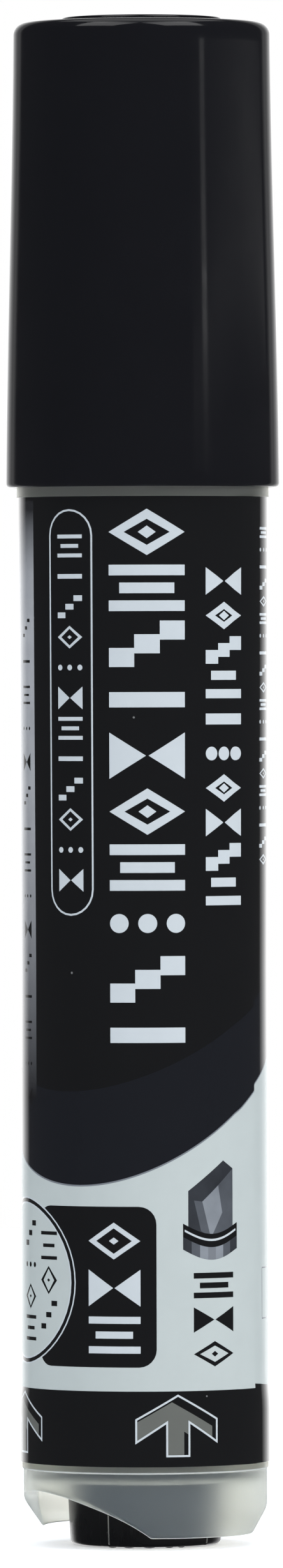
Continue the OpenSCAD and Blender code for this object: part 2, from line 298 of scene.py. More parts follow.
def fibre_material(name, colour, dark, across_mm):
    """Bonded fibres that run along the axis."""
    mat, nt, shader = new_material(name)
    strands = noise(nt, (1 / across_mm, 1 / across_mm, 0.25), detail=4.0, rough=0.6)
    blots = noise(nt, (0.5, 0.5, 0.5))
    base = blended(nt, ranged(nt, strands, 0.35, 0.65, 0, 1), dark, colour)
    base = blended(nt, ranged(nt, blots, 0.35, 0.75, 0.0, 0.5), base, dark)
    nt.links.new(base, shader.inputs["Base Color"])
    shader.inputs["Roughness"].default_value = 0.92
    shader.inputs["Specular IOR Level"].default_value = 0.25
    bumped(nt, shader, strands, 0.6, 0.08)
    return mat


NIB_FELT = fibre_material("nib felt", rgb(58, 58, 62), rgb(22, 22, 25), 0.12)
CORE_FIBRE = fibre_material("core fibre", rgb(96, 96, 100), rgb(34, 34, 38), 0.1)


def sponge_material():
    mat, nt, shader = new_material("absorber sponge")
    cells = nt.nodes.new("ShaderNodeTexVoronoi")
    cells.inputs["Scale"].default_value = 1.0
    nt.links.new(place(nt, (3.2,) * 3), cells.inputs["Vector"])
    base = ramp(nt, cells.outputs["Distance"], [(0.1, rgb(60, 61, 66)), (0.6, rgb(150, 152, 158))])
    nt.links.new(base, shader.inputs["Base Color"])
    shader.inputs["Roughness"].default_value = 0.95
    bumped(nt, shader, cells.outputs["Distance"], 0.9, 0.25)
    return mat


SPONGE = sponge_material()

# Printed film: a flat ink under a clear gloss skin
FILM_COAT = {"Coat_Weight": 1.0, "Coat_Roughness": 0.04, "Coat_IOR": 1.45, "Specular_IOR_Level": 0.0}


def print_ink(name, colour, tone=0.05, specks=0.0, coat=1.0):
    return surface(
        name, colour, tone=tone, tone_mm=2.5, roughness=0.42, spread=0.05, grain=0.1,
        grain_mm=0.18, streaks=0.06, specks=specks, **{**FILM_COAT, "Coat_Weight": coat},
    )


PRINT = {
    "silver": print_ink("print silver", rgb(188, 194, 191), tone=0.04, coat=0.6),
    "black": print_ink("print black", rgb(23, 23, 24), specks=0.35),
    "band": print_ink("print blue black", rgb(27, 28, 32), specks=0.3),
    "white": print_ink("print white", rgb(199, 204, 206), tone=0.03),
    "edge": print_ink("print edge grey", rgb(120, 123, 128)),
    "grey": print_ink("print grey", rgb(104, 105, 100)),
    "cut": print_ink("film cut edge", rgb(96, 74, 52), tone=0.3),
    "facet_dark": print_ink("print facet dark", rgb(52, 54, 58), tone=0.5),
    "facet_mid": print_ink("print facet mid", rgb(84, 87, 92), tone=0.4),
    "facet_light": print_ink("print facet light", rgb(132, 136, 141), tone=0.3),
}


def fading_print(name, stops):
    """A print whose tone changes with height. stops are (height, sRGB grey)."""
    mat, nt, shader = new_material(name)
    split = nt.nodes.new("ShaderNodeSeparateXYZ")
    nt.links.new(place(nt), split.inputs[0])
    low, high = stops[0][0], stops[-1][0]
    share = ranged(nt, split.outputs["Z"], low, high, 0.0, 1.0)
    tone = ramp(nt, share, [((z - low) / (high - low), rgb(g, g, g + 2)) for z, g in stops])
    cloud = noise(nt, (0.4, 0.4, 0.4))
    base = blended(nt, ranged(nt, cloud, 0.3, 0.7, 0.0, 0.12), tone, rgb(30, 30, 33))
    nt.links.new(base, shader.inputs["Base Color"])
    shader.inputs["Roughness"].default_value = 0.42
    for socket, value in FILM_COAT.items():
        shader.inputs[socket.replace("_", " ")].default_value = value
    return mat


PRINT["strip"] = fading_print(
    "print fading strip", [(35.5, 24), (41.6, 98), (49, 140), (57, 168), (72, 182), (77, 165), (82, 40)]
)

# ---------------------------------------------------------------- mesh helpers


def mesh_object(name, points, faces, materials, indices=None, sharp_deg=38.0):
    """An object from points in millimetres. Edges sharper than sharp_deg stay sharp."""
    mesh = bpy.data.meshes.new(name)
    mesh.from_pydata([Vector(p) * MM for p in points], [], faces)
    for mat in materials:
        mesh.materials.append(mat)
    if indices:
        mesh.polygons.foreach_set("material_index", indices)
    return finished_object(name, mesh, sharp_deg)


def finished_object(name, mesh, sharp_deg=38.0):
    bm = bmesh.new()
    bm.from_mesh(mesh)
    bmesh.ops.remove_doubles(bm, verts=bm.verts, dist=1e-7)
    bmesh.ops.dissolve_degenerate(bm, edges=bm.edges, dist=1e-7)
    bmesh.ops.recalc_face_normals(bm, faces=bm.faces)
    limit = math.radians(sharp_deg)
    for face in bm.faces:
        face.smooth = True
    for edge in bm.edges:
        edge.smooth = len(edge.link_faces) == 2 and edge.calc_face_angle(0.0) < limit
    bm.to_mesh(mesh)
    bm.free()
    obj = bpy.data.objects.new(name, mesh)
    bpy.context.scene.collection.objects.link(obj)
    return obj


def rounded(corners, steps=5):
    """A closed outline from (r, z) or (r, z, fillet) corners."""
    out = []
    count = len(corners)
    for i, corner in enumerate(corners):
        at = Vector(corner[:2])
        if len(corner) == 2:
            out.append(at)
            continue
        before = Vector(corners[i - 1][:2]) - at
        after = Vector(corners[(i + 1) % count][:2]) - at
        start = at + before.normalized() * corner[2]
        end = at + after.normalized() * corner[2]
        for k in range(steps + 1):
            t = k / steps
            out.append(start * (1 - t) ** 2 + at * 2 * t * (1 - t) + end * t * t)
    return [(p.x, p.y) for p in out]


def around(angle, r, z):
    """A point at an angle from the front, in radians."""
    return (r * math.sin(angle), -r * math.cos(angle), z)


def lathe(name, outline, materials, turns=192, pick=None):
    """Turns a closed outline of (r, z) about the axis. pick gives a face's material
    from the index of the outline's edge."""
    count = len(outline)
    points = [
        around(2 * math.pi * i / turns, r, z) for i in range(turns) for r, z in outline
    ]
    faces, indices = [], []
    for i in range(turns):
        a, b = i * count, (i + 1) % turns * count
        for k in range(count):
            n = (k + 1) % count
            if outline[k][0] == 0 and outline[n][0] == 0:
                continue
            faces.append((a + k, b + k, b + n, a + n))
            indices.append(pick(outline[k], outline[n]) if pick else 0)
    return mesh_object(name, points, faces, materials, indices)


def stands_for(piece, node, body):
    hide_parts(node)
    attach(piece, body)


def ease(t):
    u = max(0.0, min(1.0, t))
    return u * u * (3 - 2 * u)


# ---------------------------------------------------------------- cap

CAP_MOUTH_R = CAP_HIGH.x
CAP_SHOULDER_R = 10.19
CAP_EDGE_R = 1.0
CAP_LIP_R = 0.35
CAP_DISC_R = 6.37
CAP_DISC_H = 0.4
CAP_ROOF_T = 1.6
CAP_UPPER_BORE_R = 9.0
CAP_BORE_R = 9.45
CAP_BORE_TOP_Z = 96
CAP_BORE_RAMP = 2
CAP_STEP_H = 0.57
CAP_MOUTH_GAP = 0.07
COLLAR_R = 9.99


def make_cap():
    top = AXIS_TOP
    shoulder = top - CAP_DISC_H
    mouth = CAP_LOW.z
    low, high = mouth + CAP_LIP_R, shoulder - CAP_EDGE_R
    ceiling = top - CAP_ROOF_T
    step = mouth + CAP_STEP_H
    mouth_bore = COLLAR_R + CAP_MOUTH_GAP
    steps = 48
    side = []
    for i in range(steps + 1):
        t = i / steps
        share = (t + (1 - math.cos(math.pi * t)) / 2) / 2
        side.append((CAP_MOUTH_R - (CAP_MOUTH_R - CAP_SHOULDER_R) * share, low + (high - low) * t))
    arc = [
        (
            CAP_SHOULDER_R - CAP_EDGE_R + CAP_EDGE_R * math.cos(math.radians(a)),
            high + CAP_EDGE_R * math.sin(math.radians(a)),
        )
        for a in range(10, 91, 10)
    ]
    lip = [
        (
            CAP_MOUTH_R - CAP_LIP_R + CAP_LIP_R * math.cos(math.radians(a)),
            low + CAP_LIP_R * math.sin(math.radians(a)),
        )
        for a in range(-90, 0, 15)
    ]
    rest = rounded(
        [
            (CAP_DISC_R + 0.3, shoulder, 0.1),
            (CAP_DISC_R + 0.02, shoulder, 0.08),
            (CAP_DISC_R, top, 0.26),
            (0, top),
            (0, ceiling),
            (CAP_UPPER_BORE_R, ceiling, 0.3),
            (CAP_UPPER_BORE_R, CAP_BORE_TOP_Z + CAP_BORE_RAMP),
            (CAP_BORE_R, CAP_BORE_TOP_Z, 0.3),
            (CAP_BORE_R, step, 0.08),
            (mouth_bore, step, 0.1),
            (mouth_bore, mouth, 0.12),
        ]
    )
    cap = lathe("cap_moulding", lip + side + arc + rest, [CAP_BLACK], turns=256)
    stands_for(cap, "cap_shell", "cap")


# ---------------------------------------------------------------- barrel

RING_R = 9.78
FILM_T = 0.12
BORE_R = 8.6
SLEEVE_R = 8.57
SLEEVE_REAR_Z = 74.1
NECK_R = 9.3
NECK_Z = 84.2
BEAD_R = 9.4
BEAD_Z, BEAD_HALF, BEAD_LAND = 88, 0.9, 0.3
FLARE_R = 9.94
GRIP_R = 9.8
FRONT_R = 9.96
FLARE_Z, GRIP_LOW_Z, GRIP_HIGH_Z = 10.8, 13.5, 45.5
FLARE_ROWS = (FLARE_Z, 11.5, 12.2, 12.9, GRIP_LOW_Z)
FRONT_ROWS = (GRIP_HIGH_Z, 65)
UNDER_FILM = 0.012


def film_radius(z):
    """Outer radius of the film: flared at the tail, straight in the grip."""
    if z < GRIP_LOW_Z:
        return FLARE_R - (FLARE_R - GRIP_R) * ease((z - FLARE_Z) / (GRIP_LOW_Z - FLARE_Z))
    return GRIP_R + (FRONT_R - GRIP_R) * max(0.0, (z - GRIP_HIGH_Z) / (FILM_HIGH.z - GRIP_HIGH_Z))


def make_barrel():
    bottom, top = BARREL_LOW.z, BARREL_HIGH.z
    under = FILM_T + UNDER_FILM
    rows = (*FLARE_ROWS, 30, *FRONT_ROWS)
    outline = rounded(
        [
            (SLEEVE_R, bottom, 0.1),
            (RING_R, bottom, 0.14),
            (RING_R, FILM_LOW.z),
            (FLARE_R - under, FILM_LOW.z),
            *[(film_radius(z) - under, z) for z in rows],
            (FRONT_R - under, FILM_HIGH.z),
            (COLLAR_R, FILM_HIGH.z, 0.04),
            (COLLAR_R, NECK_Z, 0.16),
            (NECK_R, NECK_Z, 0.12),
            (NECK_R, BEAD_Z - BEAD_HALF, 0.2),
            (BEAD_R, BEAD_Z - BEAD_LAND, 0.15),
            (BEAD_R, BEAD_Z + BEAD_LAND, 0.15),
            (NECK_R, BEAD_Z + BEAD_HALF, 0.2),
            (NECK_R, top, 0.15),
            (SLEEVE_R, top, 0.1),
            (SLEEVE_R, SLEEVE_REAR_Z + 0.1),
            (BORE_R, SLEEVE_REAR_Z),
            (BORE_R, GUARD_HIGH.z + 0.1),
            (SLEEVE_R, GUARD_HIGH.z),
        ]
    )
    barrel = lathe(
        "barrel_moulding",
        outline,
        [MILKY, FROSTED_EDGE],
        pick=lambda p, q: int(max(p[1], q[1]) < bottom + 0.15 and max(p[0], q[0]) > RING_R - 0.3),
    )
    stands_for(barrel, "barrel_tube", "barrel")


# ---------------------------------------------------------------- label artwork
# The artwork is drawn flat: x is the arc from the front in millimetres, y the height.

ARC = GRIP_R
SEAM_A = 61.0
OVERLAP_A = 10.5
LIFT_A = 4.0
SLIP_MM = 0.4
SLIP_FADE_MM = 8.0
COLUMN_MM = 0.62
JOIN_MM = 3e-3
UP_TO = FILM_HIGH.z
DOWN_TO = FILM_LOW.z
BAND_Z = 12.62
SWOOSH = (35.66, 6.96, 32.0)
SWOOSH_INNER = (41.86, 5.69, 38.5)


def arc_mm(degrees):
    return math.radians(degrees) * ARC


TURN = arc_mm(360)
SHEET_LOW = arc_mm(SEAM_A - OVERLAP_A - 360)
SHEET_HIGH = arc_mm(SEAM_A)
shapes = []


def paint(points, ink, inside=None):
    """Adds a polygon to the artwork, over what is there, kept to a second polygon."""
    shapes.append(([tuple(p) for p in points], ink, inside))


def block(x0, y0, x1, y1, ink, corner=0.0, steps=6):
    if not corner:
        paint([(x0, y0), (x1, y0), (x1, y1), (x0, y1)], ink)
        return
    centres = [
        (x1 - corner, y1 - corner, 0),
        (x0 + corner, y1 - corner, 90),
        (x0 + corner, y0 + corner, 180),
        (x1 - corner, y0 + corner, 270),
    ]
    paint(
        [
            (
                cx + corner * math.cos(math.radians(start + 90 * k / steps)),
                cy + corner * math.sin(math.radians(start + 90 * k / steps)),
            )
            for cx, cy, start in centres
            for k in range(steps + 1)
        ],
        ink,
    )


def disc(cx, cy, r, ink, steps=48):
    paint(
        [
            (cx + r * math.cos(2 * math.pi * k / steps), cy + r * math.sin(2 * math.pi * k / steps))
            for k in range(steps)
        ],
        ink,
    )


def slip(x):
    """How much higher the print sits near the sheet's start, so it misses at the seam."""
    return SLIP_MM * (1 - ease((x - SHEET_LOW) / SLIP_FADE_MM))


def wave(centre, height, phase, x):
    return centre - height * math.cos(x / ARC + math.radians(phase)) + slip(x)


def above_wave(curve, lift, ink):
    """Fills the sheet from a wave up to its top edge."""
    steps = 180
    xs = [SHEET_LOW + (SHEET_HIGH - SHEET_LOW) * i / steps for i in range(steps + 1)]
    edge = [(x, wave(*curve, x) + lift) for x in xs]
    paint([(SHEET_LOW, UP_TO), *edge, (SHEET_HIGH, UP_TO)], ink)


# Generic marks: bars, dots, diamonds and stepped tiles. Each fills a cell of its own.


def diamond(cx, cy, half_x, half_y, ink):
    paint([(cx - half_x, cy), (cx, cy - half_y), (cx + half_x, cy), (cx, cy + half_y)], ink)


def mark(kind, x0, y0, x1, y1, width, ink, ground):
    """One mark: 0 bars, 1 diamond ring, 2 dots, 3 stepped tiles, 4 long bar, 5 hourglass."""
    cx, cy = (x0 + x1) / 2, (y0 + y1) / 2
    wide, high = x1 - x0, y1 - y0
    if kind == 0:
        bars = 3 if high > width * 3.4 else 2
        thick = min(width, high / (2 * bars - 1) * 1.15)
        for k in range(bars):
            y = y0 + thick / 2 + k * (high - thick) / (bars - 1)
            short = 0.14 * wide * (k % 2)
            block(x0 + short, y - thick / 2, x1 - short, y + thick / 2, ink)
    elif kind == 1:
        diamond(cx, cy, wide / 2, high / 2, ink)
        diamond(cx, cy, wide / 2 - width * 1.2, high / 2 - width * 0.8, ground)
        diamond(cx, cy, width * 0.7, width * 0.5, ink)
    elif kind == 2:
        for k in range(3):
            disc(x0 + width * 0.75 + k * (wide - width * 1.5) / 2, cy, width * 0.75, ink, 24)
    elif kind == 3:
        step = wide / 3
        for k in range(3):
            low = y0 + k * (high - width * 1.5) / 2
            block(x0 + k * step, low, x0 + (k + 1) * step, low + width * 1.5, ink)
    elif kind == 4:
        block(x0, cy - width * 0.6, x1, cy + width * 0.6, ink)
    else:
        paint([(x0, y0), (cx - width * 0.1, cy), (x0, y1)], ink)
        paint([(x1, y1), (cx + width * 0.1, cy), (x1, y0)], ink)


def column(x0, x1, y_top, y_bottom, kinds, gap, width, ink, ground):
    """A column of marks from y_top down to y_bottom."""
    pitch = (y_top - y_bottom + gap) / len(kinds)
    for i, kind in enumerate(kinds):
        high = y_top - i * pitch
        mark(kind, x0, high - pitch + gap, x1, high, width, ink, ground)


ARROW = [(0, 12.37), (3.38, 10.44), (3.38, 8.47), (0.97, 10.05), (0.97, 7.45)]


def arrow(x):
    """An up arrow: white outline, black inside, grey arrow shifted down and left."""
    left = [(-px, py) for px, py in reversed(ARROW[1:])]
    outline = [Vector((px, py)) for px, py in ARROW + left]
    centre_y = 9.9
    line = 0.15

    def inset(by):
        out = []
        count = len(outline)
        for i, p in enumerate(outline):
            before = (p - outline[i - 1]).normalized()
            after = (outline[(i + 1) % count] - p).normalized()
            n1, n2 = Vector((before.y, -before.x)), Vector((after.y, -after.x))
            mid = (n1 + n2).normalized()
            out.append(p - mid * (-by / max(0.3, mid.dot(n1))))
        return out

    inner = inset(line)
    if abs(inner[0].y - centre_y) > abs(outline[0].y - centre_y):
        inner = inset(-line)
    shift = Vector((x, 0))
    paint([p + shift for p in outline], "white")
    paint([p + shift for p in inner], "black")
    grey = [p + shift + Vector((-0.5, -0.6)) for p in outline]
    paint(grey, "grey", inside=[tuple(p + shift) for p in inner])


def nib_picture(x):
    """A small drawing of a chisel nib in its holder."""
    faces = [
        ("facet_dark", [(0, 28.35), (3.2, 30.7), (4.2, 30.05), (1.22, 27.5)]),
        ("facet_mid", [(1.22, 27.5), (4.2, 30.05), (4.2, 24.6), (2.0, 24.4)]),
        ("facet_light", [(1.22, 27.5), (2.7, 28.75), (3.1, 26.6), (2.0, 24.6)]),
        ("facet_dark", [(0, 28.35), (1.22, 27.5), (2.0, 24.4), (0, 24.6)]),
        ("facet_mid", [(0.5, 27.6), (1.22, 27.5), (2.0, 24.6), (1.1, 25.2)]),
    ]
    for ink, points in faces:
        paint([(x + a, b) for a, b in points], ink)
    mid, half, steps = x + 2.1, 2.54, 16

    def cup(left, right, top, bottom, ink):
        """A slice of a round cup, whose edges sag towards its middle."""

        def sag(a):
            return 0.85 * math.cos((a - mid) / half * math.pi / 2)

        across = [left + (right - left) * k / steps for k in range(steps + 1)]
        upper = [(a, top - sag(a)) for a in across]
        paint(upper + [(a, bottom - sag(a)) for a in reversed(across)], ink)

    cup(mid - half, mid + half, 25.8, 24.75, "black")
    cup(mid - 2.4, mid + 2.4, 25.4, 25.23, "white")
    slices = ["facet_dark", "facet_mid", "facet_light", "edge", "facet_light", "facet_mid", "facet_dark"]
    for k, ink in enumerate(slices):
        left = mid - half + 2 * half * k / len(slices)
        cup(left, left + 2 * half / len(slices), 24.75, 23.75, ink)


def draw_artwork():
    black_edge = 0.13
    above_wave(SWOOSH, 0.0, "edge")
    above_wave(SWOOSH, black_edge, "band")
    above_wave(SWOOSH_INNER, 0.0, "black")
    block(arc_mm(-106), 35.5, -10.35, UP_TO - 0.3, "strip")
    # left column: a thin outlined pill of small marks
    block(-8.2, 50.0, -4.05, 82.0, "white", corner=2.07)
    block(-8.05, 50.15, -4.2, 81.85, "black", corner=1.92)
    column(-7.3, -4.95, 80.0, 51.9, [0, 4, 3, 1, 2, 5] * 2, 0.6, 0.3, "white", "black")
    # title column
    column(-2.7, 3.3, 82.0, 38.8, [1, 0, 3, 4, 5, 1, 0, 2, 3, 4], 0.75, 1.0, "white", "black")
    # smaller bold column
    column(5.1, 8.6, 77.4, 50.8, [5, 1, 3, 0, 4, 2, 1, 5, 3, 0], 0.55, 0.72, "white", "black")
    # fine marks at the right and in the grey strip
    fine = [0, 2, 4, 3, 1] * 4
    column(11.7 - TURN, 13.7 - TURN, 80.6, 53.9, fine, 0.5, 0.2, "white", "black")
    column(-12.6, -11.1, 73.4, 34.9, [3, 4, 0, 2, 5] * 3, 1.2, 0.18, "black", "strip")
    # back columns
    for k in range(3):
        x = arc_mm(-135 - 33 * k)
        column(x - 1.0, x + 1.0, 79.0, 52.0 - 2 * k, [4, 2, 0, 3, 5] * 3, 0.7, 0.2, "white", "black")
    # line-width swatch in a rounded box, beside a round badge
    block(-9.85, 14.5, 0.92, 27.15, "black", corner=1.4)
    column(-4.6, -0.35, 25.9, 15.6, [1, 5, 0], 0.8, 0.56, "white", "black")
    disc(-12.4, 21.13, 6.62, "white")
    disc(-12.4, 21.13, 6.5, "black")
    disc(-12.4, 21.13, 6.2, "white")
    disc(-12.4, 21.13, 6.08, "silver")
    column(-9.7, -7.7, 25.1, 17.4, [0, 1, 3], 0.5, 0.28, "black", "silver")
    column(-12.5, -10.5, 25.9, 16.4, [3, 2, 1, 0], 0.5, 0.28, "black", "silver")
    nib_picture(3.5)
    column(3.95, 7.75, 21.9, 14.5, [0, 5, 1], 0.7, 0.45, "black", "silver")
    block(12.1 - TURN, 18.0, 15.5 - TURN, 22.1, "edge")
    block(12.2 - TURN, 18.1, 15.4 - TURN, 22.0, "silver")
    # tail band with an arrow every quarter turn
    band_top = [SHEET_LOW + k * 0.5 for k in range(20)] + [SHEET_HIGH]
    band = [(SHEET_HIGH, DOWN_TO), (SHEET_LOW, DOWN_TO)]
    paint(band + [(x, BAND_Z + slip(x)) for x in band_top], "black")
    for k in range(-3, 1):
        arrow(arc_mm(15.2 + 90 * k))


def inside_of(polygon, x, y):
    hit = False
    x0, y0 = polygon[-1]
    for x1, y1 in polygon:
        if (y0 > y) != (y1 > y) and x < (x1 - x0) * (y - y0) / (y1 - y0) + x0:
            hit = not hit
        x0, y0 = x1, y1
    return hit


def clipped(polygon):
    """Keeps a polygon's points on the sheet."""
    return [
        (min(max(x, SHEET_LOW), SHEET_HIGH), min(max(y, DOWN_TO), UP_TO)) for x, y in polygon
    ]


def triangulated():
    """Triangles of the sheet with every print edge as an edge, and each one's ink."""
    points, edges = [], []

    def loop(polygon, closed=True):
        first = len(points)
        points.extend(Vector(p) for p in polygon)
        count = len(polygon)
        for k in range(count if closed else count - 1):
            edges.append((first + k, first + (k + 1) % count))

    loop([(SHEET_LOW, DOWN_TO), (SHEET_HIGH, DOWN_TO), (SHEET_HIGH, UP_TO), (SHEET_LOW, UP_TO)])
    for polygon, _, _ in shapes:
        loop(clipped(polygon))
    columns = round((SHEET_HIGH - SHEET_LOW) / COLUMN_MM)
    for i in range(1, columns):
        x = SHEET_LOW + (SHEET_HIGH - SHEET_LOW) * i / columns
        loop([(x, DOWN_TO), (x, UP_TO)], closed=False)
    for y in (*FLARE_ROWS, *FRONT_ROWS):
        loop([(SHEET_LOW, y), (SHEET_HIGH, y)], closed=False)
    verts, _, tris, *_ = delaunay_2d_cdt(points, edges, [], 0, JOIN_MM)
    bounds = [
        (
            min(p[0] for p in poly), max(p[0] for p in poly),
            min(p[1] for p in poly), max(p[1] for p in poly),
        )
        for poly, _, _ in shapes
    ]
    kept, inks = [], []
    for tri in tris:
        x = sum(verts[i].x for i in tri) / 3
        y = sum(verts[i].y for i in tri) / 3
        ink = "silver"
        for (polygon, colour, inside), (x0, x1, y0, y1) in zip(shapes, bounds):
            if not (x0 <= x <= x1 and y0 <= y <= y1) or not inside_of(polygon, x, y):
                continue
            if inside and not inside_of(inside, x, y):
                continue
            ink = colour
        kept.append(tuple(tri))
        inks.append(ink)
    return verts, kept, inks


def film_point(x, y, depth):
    """Wraps a sheet point on the barrel: the free end lies on the other end."""
    angle = x / ARC
    before = SEAM_A - math.degrees(angle)
    lift = FILM_T * 1.08 * (1 - ease((before - OVERLAP_A - 0.3) / LIFT_A))
    return around(angle, film_radius(y) + lift - depth, y)


def make_label():
    draw_artwork()
    verts, tris, inks = triangulated()
    names = list(PRINT)
    count = len(verts)
    points = [film_point(v.x, v.y, 0) for v in verts]
    points += [film_point(v.x, v.y, FILM_T) for v in verts]
    faces = list(tris) + [tuple(i + count for i in reversed(t)) for t in tris]
    indices = [names.index(ink) for ink in inks] + [names.index("white")] * len(tris)
    borders = {(t[k], t[(k + 1) % 3]) for t in tris for k in range(3)}
    for a, b in sorted(borders):
        if (b, a) not in borders:
            faces.append((b, a, a + count, b + count))
            indices.append(names.index("cut"))
    mesh = bpy.data.meshes.new("label_wrap")
    mesh.from_pydata([Vector(p) * MM for p in points], [], faces)
    for name in names:
        mesh.materials.append(PRINT[name])
    mesh.polygons.foreach_set("material_index", indices)
    mesh.polygons.foreach_set("use_smooth", [True] * len(faces))
    normals = []
    for face in mesh.polygons:
        for loop in face.loop_indices:
            at = mesh.vertices[mesh.loops[loop].vertex_index].co
            radial = Vector((at.x, at.y, 0)).normalized()
            if face.index >= 2 * len(tris):
                normals.append(face.normal)
            else:
                normals.append(radial if face.index < len(tris) else -radial)
    mesh.normals_split_custom_set(normals)
    label = bpy.data.objects.new("label_wrap", mesh)
    bpy.context.scene.collection.objects.link(label)
    stands_for(label, "label_film", "barrel")


# ---------------------------------------------------------------- tail guard

GUARD_R = 9.66
GUARD_RIM_Z = 0.92
GUARD_RIM_RISE = 0.58
WAVE_Z = 4.5
WAVE_FROM, WAVE_TO = -92.0, 3.0
WAVE_CREST = 0.305
WAVE_STEP = 0.5
WAVE_FILLET = 0.6
SKIRT_BORE_R = 8.55
SKIRT_EDGE = 0.18
DRAW_IN_Z = 3.7
DRAW_IN_BEND = 0.8
DRAW_IN_SLOPE = 0.55
WEB_Z = 5.2
GUARD_BORE_R = 6.4
GUARD_COUNTERBORE_R = 7.4
GUARD_STEP_Z = 7.45
GUARD_PLUG_R = 8.58
RIM_EDGE = 0.06
RISE_FROM, RISE_OVER = 90, 134


def rim_height(a):
    """Height of the rim at an angle in degrees, from the steep edge right round."""
    if a >= WAVE_TO:
        return GUARD_RIM_Z + GUARD_RIM_RISE * ease((a - RISE_FROM) / RISE_OVER)
    u = (a - WAVE_FROM) / (WAVE_TO - WAVE_FROM)
    if u > WAVE_CREST:
        past = (u - WAVE_CREST) / (1 - WAVE_CREST)
        return WAVE_Z - (WAVE_Z - GUARD_RIM_Z) * past**2
    before = (WAVE_CREST - u) / WAVE_CREST
    lift = WAVE_FILLET - min(math.radians(a - WAVE_FROM) * GUARD_R, WAVE_FILLET)
    return WAVE_Z - WAVE_STEP * before**2 - (WAVE_FILLET - math.sqrt(WAVE_FILLET**2 - lift**2))


def skirt_r(a, z):
    """Outer radius of the skirt, which draws in more at the left than at the right."""
    lean = math.sin(math.radians(a))
    h = max(0.0, DRAW_IN_Z - 0.3 * lean - z)
    fall = h * h / (2 * DRAW_IN_BEND) if h < DRAW_IN_BEND else h - DRAW_IN_BEND / 2
    return GUARD_R - DRAW_IN_SLOPE * (1.13 - 0.13 * lean) * fall


def make_guard():
    angles = [WAVE_FROM + 0.12 * k for k in range(40)]
    a = angles[-1]
    while a < WAVE_FROM + 357.4:
        a += 0.9
        angles.append(a)
    angles += [WAVE_FROM + 358.4, WAVE_FROM + 359.2, WAVE_FROM + 359.7]
    top = BARREL_LOW.z - 0.01
    rows = 14
    points = []
    for a in angles:
        rim = rim_height(a)
        section = []
        for k in range(rows + 1):
            z = top + (rim + RIM_EDGE - top) * k / rows
            section.append((skirt_r(a, z), z))
        edge = skirt_r(a, rim)
        section.append((edge - 0.05, rim))
        inner = min(SKIRT_BORE_R, edge - SKIRT_EDGE)
        section.append((inner + 0.04, rim))
        for k in range(rows + 1):
            z = rim + RIM_EDGE + (WEB_Z - rim - RIM_EDGE) * k / rows
            section.append((min(SKIRT_BORE_R, skirt_r(a, z) - SKIRT_EDGE), z))
        section += [
            (8.3, WEB_Z + 0.3),
            (7.8, WEB_Z + 0.5),
            (6.6, WEB_Z + 0.55),
            (GUARD_BORE_R, WEB_Z + 0.7),
            (GUARD_BORE_R, GUARD_STEP_Z),
            (GUARD_COUNTERBORE_R, GUARD_STEP_Z),
            (GUARD_COUNTERBORE_R, GUARD_HIGH.z),
            (GUARD_PLUG_R - 0.18, GUARD_HIGH.z),
            (GUARD_PLUG_R, GUARD_HIGH.z - 0.2),
            (GUARD_PLUG_R, top),
        ]
        points += [around(math.radians(a), r, z) for r, z in section]
    count = len(points) // len(angles)
    frosted = (*range(rows, rows + 3), *range(2 * rows + 3, 2 * rows + 7))
    faces, indices = [], []
    for i in range(len(angles)):
        a, b = i * count, (i + 1) % len(angles) * count
        for k in range(count):
            n = (k + 1) % count
            faces.append((a + k, a + n, b + n, b + k))
            indices.append(int(k in frosted))
    guard = mesh_object(
        "guard_moulding", points, faces, [MILKY_GUARD, FROSTED_EDGE], indices, 42.0
    )
    stands_for(guard, "tail_guard", "barrel")


# ---------------------------------------------------------------- push button

BUTTON_R = 5.97
BUTTON_TOP_R = 6.3
BUTTON_EDGE_R = 0.36
BUTTON_SKIRT_R = 7.3
BUTTON_SKIRT_Z = 7.5
BUTTON_BORE_R = 4.67
BUTTON_FLOOR_T = 2.2
PIP_H = 0.1
PIP_RING_R = 5.25
PIPS = ((0.3, 1.0), (1.85, 0.7), (2.8, 0.6), (-1.3, 0.9), (-2.6, 0.7))
RIB_ANGLES = (-32.5, 57.5, 147.5, 237.5)
RIB_HALF = 3.4
RIB_H = 0.1
RIB_EDGE = 0.6
RIB_TOP_Z = 4.6


def button_outline(a):
    """Cross-section at an angle in degrees: guide ribs stand a little proud."""
    off = min(abs((a - r + 180) % 360 - 180) for r in RIB_ANGLES)
    proud = RIB_H * (1 - ease((off - RIB_HALF) / RIB_EDGE))
    top = BUTTON_HIGH.z
    foot = PIP_H
    flat_r = BUTTON_R - BUTTON_EDGE_R
    corners = [
        (0, foot),
        (2.4, foot),
        (2.6, foot + 0.08),
        (4.6, foot + 0.08),
        (4.8, foot),
        (flat_r, foot),
    ]
    for k in range(1, 7):
        t = math.radians(15 * k)
        r = flat_r + (BUTTON_EDGE_R + proud) * math.sin(t)
        corners.append((r, foot + BUTTON_EDGE_R * (1 - math.cos(t))))
    low = foot + BUTTON_EDGE_R
    for k in range(1, 9):
        z = low + (RIB_TOP_Z - low) * k / 8
        corners.append((BUTTON_R + (BUTTON_TOP_R - BUTTON_R) * z / BUTTON_SKIRT_Z + proud, z))
    corners += [
        (BUTTON_TOP_R - 0.1, RIB_TOP_Z + 0.3),
        (BUTTON_TOP_R - 0.02, BUTTON_SKIRT_Z),
        (BUTTON_SKIRT_R, BUTTON_SKIRT_Z),
        (BUTTON_SKIRT_R, top),
        (BUTTON_BORE_R, top),
        (BUTTON_BORE_R, BUTTON_FLOOR_T),
        (0, BUTTON_FLOOR_T),
    ]
    return corners


